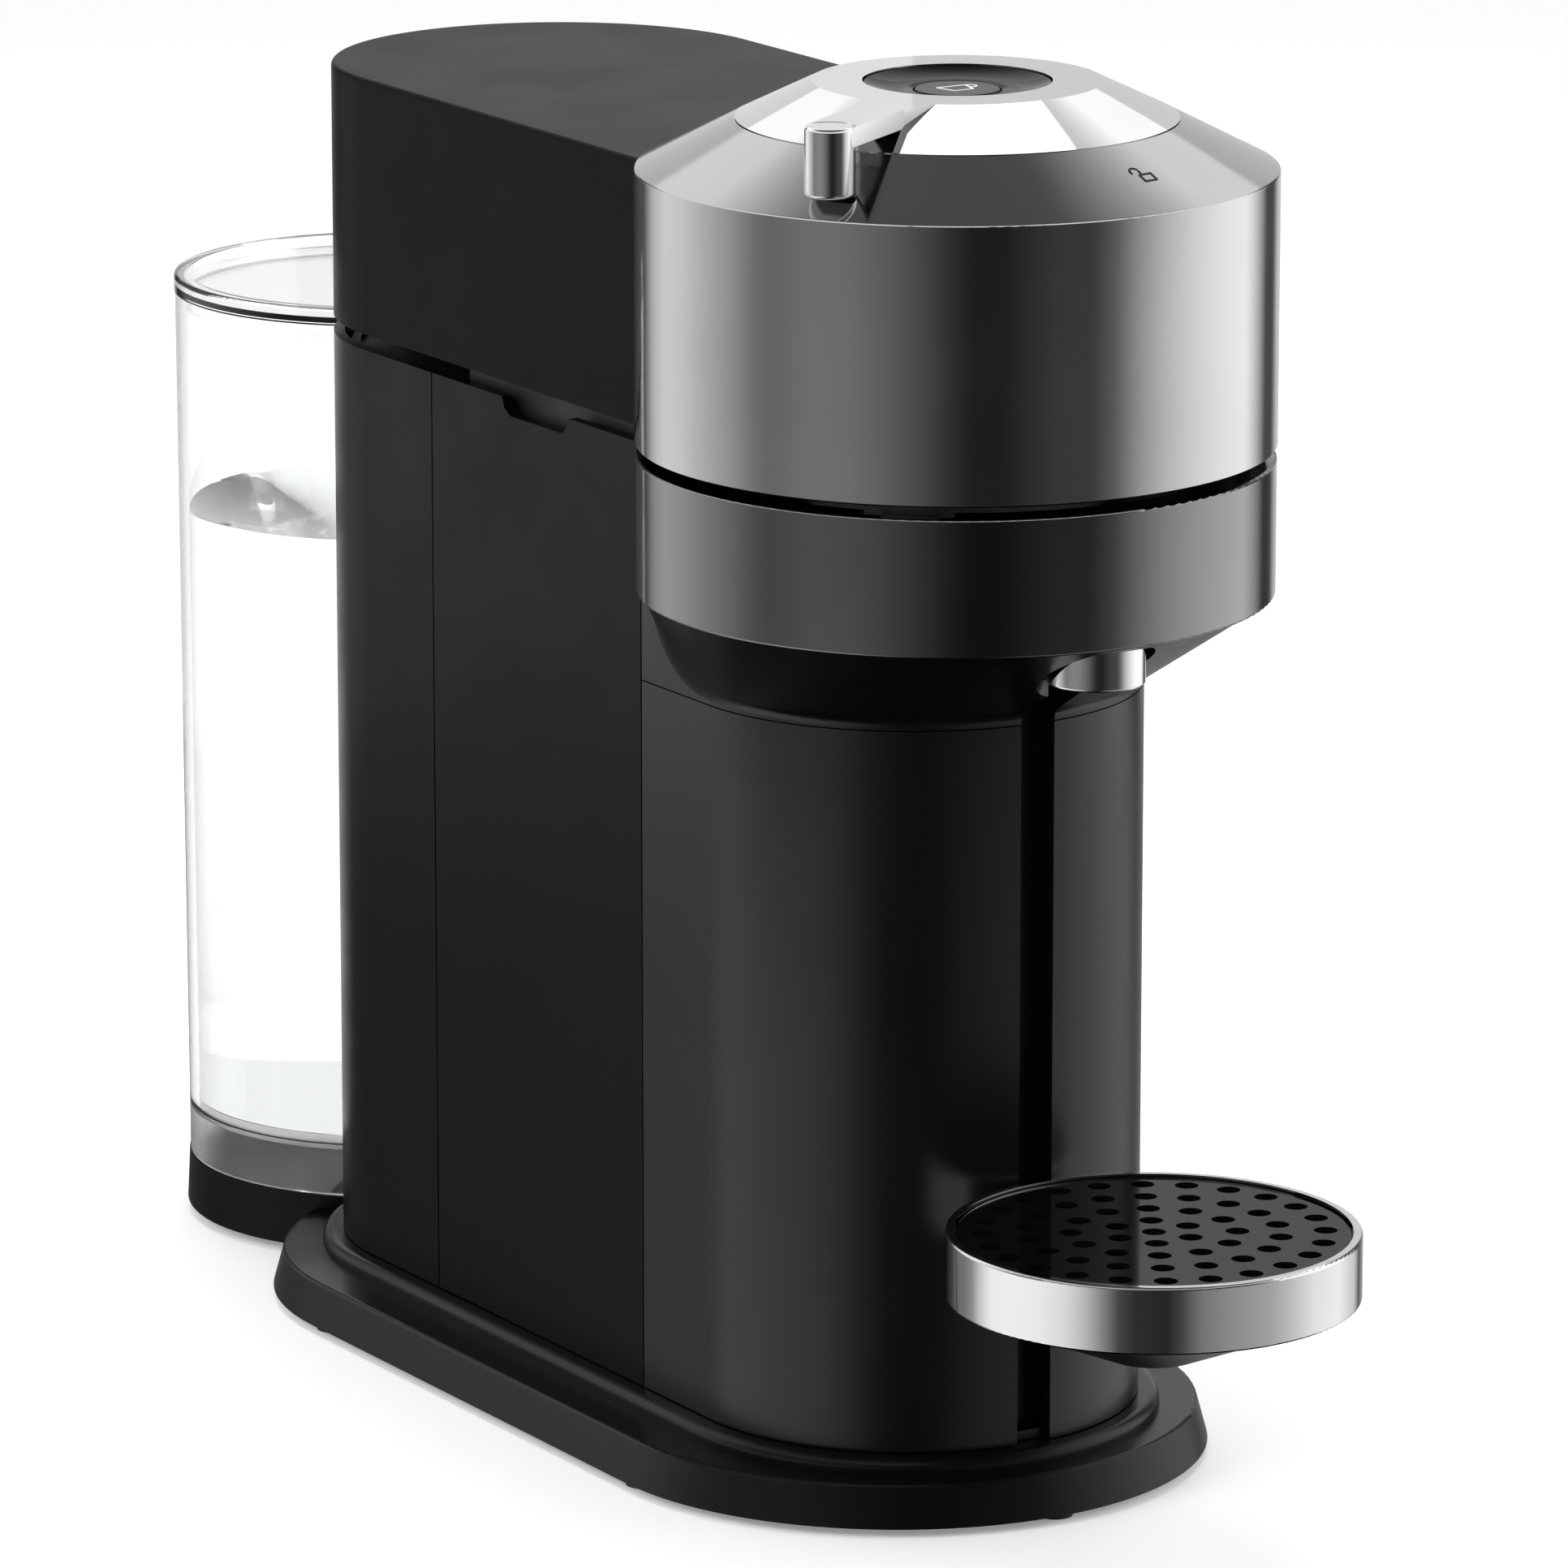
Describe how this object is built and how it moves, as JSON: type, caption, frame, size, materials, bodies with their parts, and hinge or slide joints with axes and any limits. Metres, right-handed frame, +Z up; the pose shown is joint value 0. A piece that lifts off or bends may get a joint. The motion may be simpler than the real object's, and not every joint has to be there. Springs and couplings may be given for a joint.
{
  "type": "pod coffee machine",
  "caption": "Narrow pod coffee machine with a round lever-locked head on a hinged lid, a chrome cup support that slides on the front column, and a clear water tank behind.",
  "frame": {"origin": "middle of the machine's footprint, on the surface that it stands on", "axes": "+Z up, -Y towards the user, where the cup stands, +X to the machine's left as it faces the user"},
  "size_m": [0.1408, 0.4267, 0.3139],
  "materials": {
    "body_plastic": "satin black moulded",
    "frame_plastic": "plain moulded",
    "gloss_plastic": "polished black",
    "dark_chrome": "dark metallised",
    "bright_chrome": "polished",
    "clear_plastic": "clear moulded",
    "smoky_plastic": "smoky translucent",
    "rubber": "matt",
    "hose_silicone": "soft translucent",
    "steel": "turned",
    "aluminium": "die cast",
    "circuit_board": "coated board",
    "inner_plastic": "plain moulded, light"
  },
  "bodies": {
    "base": {"base_plate": "body_plastic", "rubber_feet": "rubber", "base_screws": "steel", "cord_gland": "rubber", "side_panel_left": "body_plastic", "side_panel_right": "body_plastic", "rear_casing": "body_plastic", "inner_frame": "frame_plastic", "hinge_pin": "steel", "top_deck": "frame_plastic", "lower_head_ring": "dark_chrome", "neck_cover": "body_plastic", "coffee_spout": "bright_chrome", "chamber_housing": "frame_plastic", "holder_bearing": "steel", "drive_belt": "rubber", "spin_motor": "steel", "pump": "frame_plastic", "thermoblock": "aluminium", "flow_meter": "inner_plastic", "control_board": "circuit_board", "suction_hose": "hose_silicone", "feed_hose": "hose_silicone", "riser_hose": "hose_silicone", "tank_cradle": "body_plastic", "port_seal": "rubber", "port_pin": "frame_plastic"},
    "lid": {"lid_shell": "body_plastic", "head_shell": "dark_chrome", "lid_frame": "frame_plastic", "head_seal": "rubber", "lid_water_pipe": "hose_silicone", "button_surround": "gloss_plastic", "switch_board": "circuit_board", "button_spring": "steel"},
    "lever": {"lever_ring": "bright_chrome", "lever_handle": "bright_chrome", "lock_spider": "steel"},
    "button": {"button_cap": "gloss_plastic"},
    "brewer": {"brew_head": "frame_plastic"},
    "holder": {"capsule_holder": "inner_plastic", "holder_pulley": "frame_plastic"},
    "rotor": {"motor_shaft": "steel", "motor_pulley": "frame_plastic"},
    "container": {"column_shell": "body_plastic", "capsule_bin": "frame_plastic"},
    "cup_support": {"tray_ring": "bright_chrome", "drip_tray": "body_plastic", "support_bracket": "body_plastic"},
    "grid": {"drip_grid": "gloss_plastic"},
    "tank": {"water_tank": "clear_plastic", "tank_base": "smoky_plastic", "valve_spring": "steel"},
    "tank_cover": {"tank_lid": "clear_plastic"},
    "valve": {"tank_valve": "frame_plastic"}
  },
  "joints": [
    {"name": "lid_hinge", "type": "hinge", "parent": "base", "child": "lid", "pos_m": [0, 0.12125, 0.2327], "axis": [-1, 0, 0], "range_deg": [0, 30]},
    {"name": "lever_turn", "type": "hinge", "parent": "lid", "child": "lever", "pos_m": [0, -0.08875, 0.305], "axis": [0, 0, 1], "range_deg": [0, 66]},
    {"name": "button_press", "type": "slide", "parent": "lid", "child": "button", "axis": [0, 0, -1], "range_m": [0, 0.0012], "stiffness_N_per_m": 900, "springref_m": -0.001, "deforming": ["button_spring"]},
    {"name": "brew_spin", "type": "hinge", "parent": "lid", "child": "brewer", "pos_m": [0, -0.08875, 0.232], "axis": [0, 0, 1], "continuous": true},
    {"name": "holder_spin", "type": "hinge", "parent": "base", "child": "holder", "pos_m": [0, -0.08875, 0.2], "axis": [0, 0, 1], "continuous": true},
    {"name": "motor_spin", "type": "hinge", "parent": "base", "child": "rotor", "pos_m": [0, 0.00625, 0.2], "axis": [0, 0, 1], "continuous": true},
    {"name": "container_slide", "type": "slide", "parent": "base", "child": "container", "axis": [0, -1, 0], "range_m": [0, 0.09]},
    {"name": "support_slide", "type": "slide", "parent": "container", "child": "cup_support", "axis": [0, 0, 1], "range_m": [-0.03, 0.055]},
    {"name": "grid_lift", "type": "slide", "parent": "cup_support", "child": "grid", "axis": [0, 0, 1], "range_m": [0, 0.03]},
    {"name": "tank_lift", "type": "slide", "parent": "base", "child": "tank", "axis": [0, 0.5736, 0.8192], "range_m": [0, 0.2]},
    {"name": "tank_lid_lift", "type": "slide", "parent": "tank", "child": "tank_cover", "axis": [0, 0, 1], "range_m": [0, 0.04]},
    {"name": "valve_drop", "type": "slide", "parent": "tank", "child": "valve", "axis": [0, 0, -1], "range_m": [0, 0.003], "deforming": ["valve_spring"]}
  ],
  "couplings": [
    {"joint": "motor_spin", "follows": "holder_spin", "ratio": 2.2222},
    {"joint": "brew_spin", "follows": "holder_spin", "ratio": 1},
    {"joint": "valve_drop", "follows": "tank_lift", "ratio": 0.015}
  ]
}
